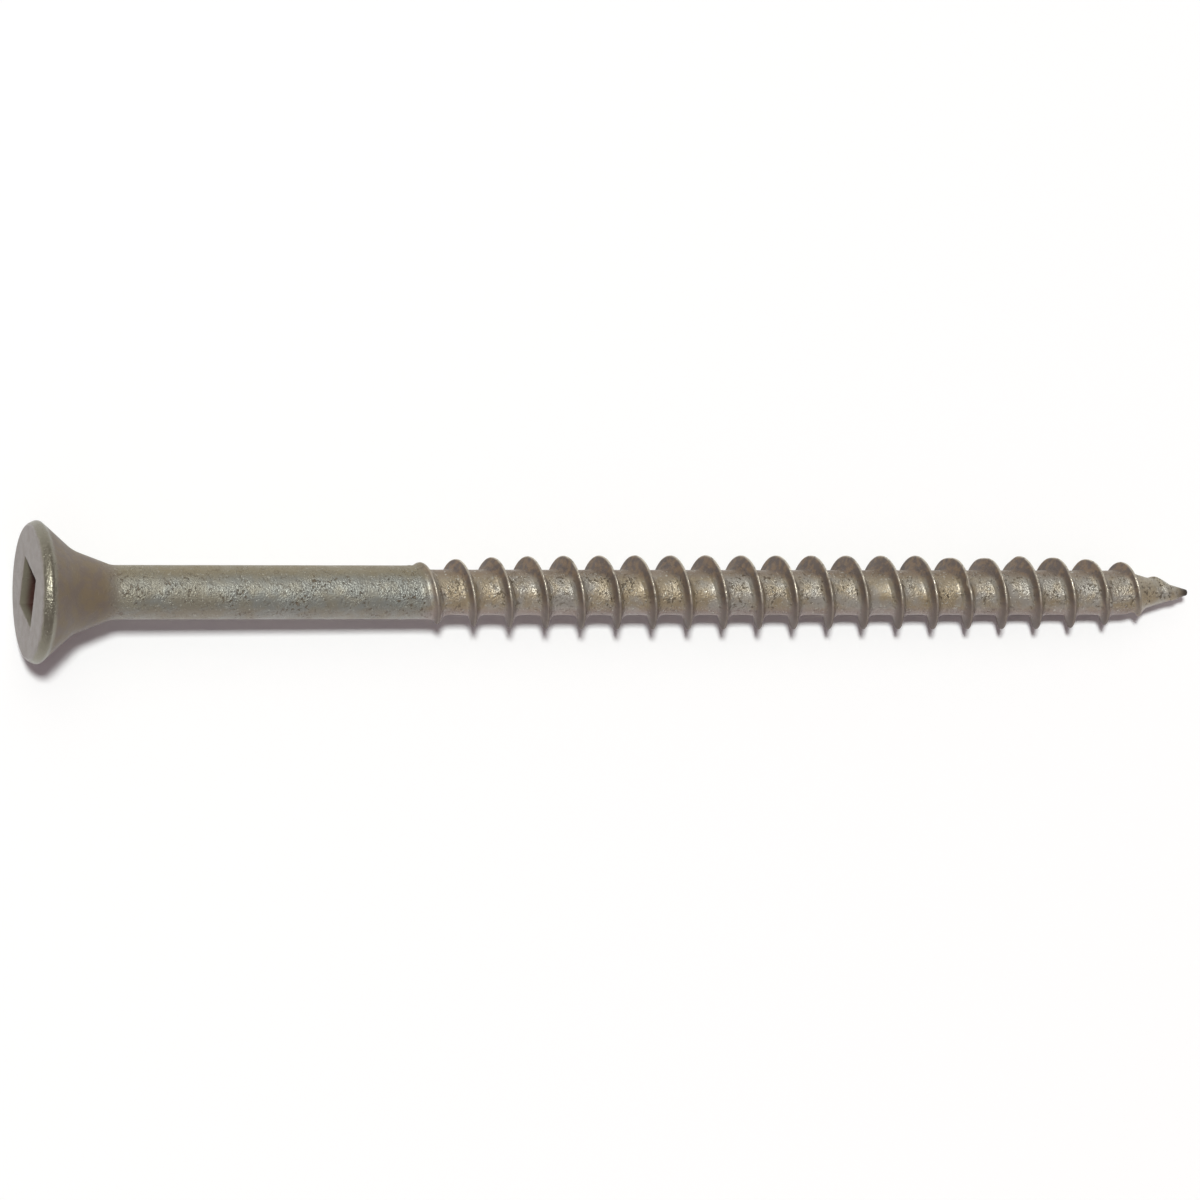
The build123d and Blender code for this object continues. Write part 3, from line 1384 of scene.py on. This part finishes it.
@dataclass
class Studio:
    """Floor, soft light and camera. The camera's places are fitted to the photograph."""

    head_across: float = -34.8389
    head_down: float = -0.4772
    head_away: float = 422.7676
    view_lean: float = 17.90
    lens: float = 208.5
    sensor_width: float = 36.0
    sight: Span = (0.01, 20.0)
    floor_half: float = 0.8
    floor_colour: Colour = (0.94, 0.94, 0.94, 1.0)
    floor_dullness: float = 0.9
    backdrop_half: float = 1.1
    backdrop_height: float = 0.1
    key_toward: tuple[float, float, float] = (-0.26, 0.205, 1.0)
    key_distance: float = 4.0
    key_size: tuple[float, float] = (0.45, 0.43)
    key_strength: float = 2.75
    key_colour: tuple[float, float, float] = (0.965, 1.0, 0.985)
    surround: Colour = (0.222, 0.184, 0.198, 1.0)
    fill_toward: tuple[float, float, float] = (-0.2, 0.5, 0.87)
    fill_strength: float = 0.19
    fill_angle: float = 40.0
    fill_colour: tuple[float, float, float] = (1.0, 0.93, 0.78)

    def place_camera(self, lay_down: Matrix) -> bpy.types.Object:
        """Makes the camera and puts it where the photograph was taken from.

        Args:
            lay_down: How the straight screw is turned and moved into the frame.

        Returns:
            The camera.
        """
        lean = math.radians(self.view_lean)
        right = Vector((math.cos(lean), 0, math.sin(lean)))
        down = Vector((0, -1, 0))
        away = Vector((math.sin(lean), 0, -math.cos(lean)))
        spot = -(right * self.head_across + down * self.head_down + away * self.head_away) * MM
        turned = Matrix((right, -down, -away)).transposed().to_4x4()
        data = bpy.data.cameras.new("camera")
        data.lens = self.lens
        data.sensor_width = self.sensor_width
        data.clip_start, data.clip_end = self.sight
        camera = bpy.data.objects.new("camera", data)
        camera.matrix_world = lay_down @ Matrix.Translation(spot) @ turned
        bpy.context.scene.collection.objects.link(camera)
        bpy.context.scene.camera = camera
        return camera

    def lay_floor(self) -> bpy.types.Object:
        """Lays a plain white floor that slopes up to a low backdrop on all sides.

        Returns:
            The floor.
        """
        mesh = bpy.data.meshes.new("floor")
        corners = []
        for reach, height in ((self.floor_half, 0.0), (self.backdrop_half, self.backdrop_height)):
            for across, down in ((-1, -1), (1, -1), (1, 1), (-1, 1)):
                corners.append((across * reach, down * reach, height))
        faces = [(0, 1, 2, 3)]
        for near in range(4):
            following = (near + 1) % 4
            faces.append((near + 4, following + 4, following, near))
        mesh.from_pydata(corners, [], faces)
        material = bpy.data.materials.new("white_floor")
        material.use_nodes = True
        shader = material.node_tree.nodes["Principled BSDF"]
        shader.inputs["Base Color"].default_value = self.floor_colour
        shader.inputs["Roughness"].default_value = self.floor_dullness
        shader.inputs["Specular IOR Level"].default_value = 0.0
        mesh.materials.append(material)
        floor = bpy.data.objects.new("floor", mesh)
        bpy.context.scene.collection.objects.link(floor)
        return floor

    def light(self) -> None:
        """Hangs a key lamp near the camera's line and a weak fill lamp in an even dim surround."""
        world = bpy.data.worlds.new("surround")
        world.use_nodes = True
        world.node_tree.nodes["Background"].inputs["Color"].default_value = self.surround
        bpy.context.scene.world = world
        key = bpy.data.lights.new("key", "AREA")
        key.shape = "RECTANGLE"
        key.size, key.size_y = self.key_size
        key.energy = self.key_strength * math.pi * self.key_distance**2
        key.color = self.key_colour
        self.hang(key, self.key_toward, self.key_distance)
        fill = bpy.data.lights.new("fill", "SUN")
        fill.energy = self.fill_strength
        fill.angle = math.radians(self.fill_angle)
        fill.color = self.fill_colour
        self.hang(fill, self.fill_toward, self.key_distance)

    def hang(self, light: bpy.types.Light, toward: tuple[float, float, float], far: float) -> None:
        """Hangs a lamp and aims it at the middle of the screw.

        Args:
            light: The lamp.
            toward: The direction from the screw to the lamp.
            far: Its distance in metres.
        """
        back = Vector(toward).normalized()
        up = back.cross(Vector((1, 0, 0))).normalized()
        turned = Matrix((up.cross(back), up, back)).transposed().to_4x4()
        lamp = bpy.data.objects.new(light.name, light)
        lamp.matrix_world = Matrix.Translation(back * far) @ turned
        bpy.context.scene.collection.objects.link(lamp)


def main() -> None:
    """Builds the screw and the studio, and reports each piece."""
    logging.basicConfig(level=logging.INFO, format="%(name)s: %(message)s")
    screw = DeckScrew()
    piece = screw.build(CoatedSteel().material(screw))
    log.info("%s: %d faces", piece.name, len(piece.data.polygons))
    studio = Studio()
    studio.place_camera(screw.lay_down())
    floor = studio.lay_floor()
    studio.light()
    log.info("%s and lights", floor.name)
    bpy.context.scene.view_settings.view_transform = "Standard"


if __name__ == "__main__":
    main()
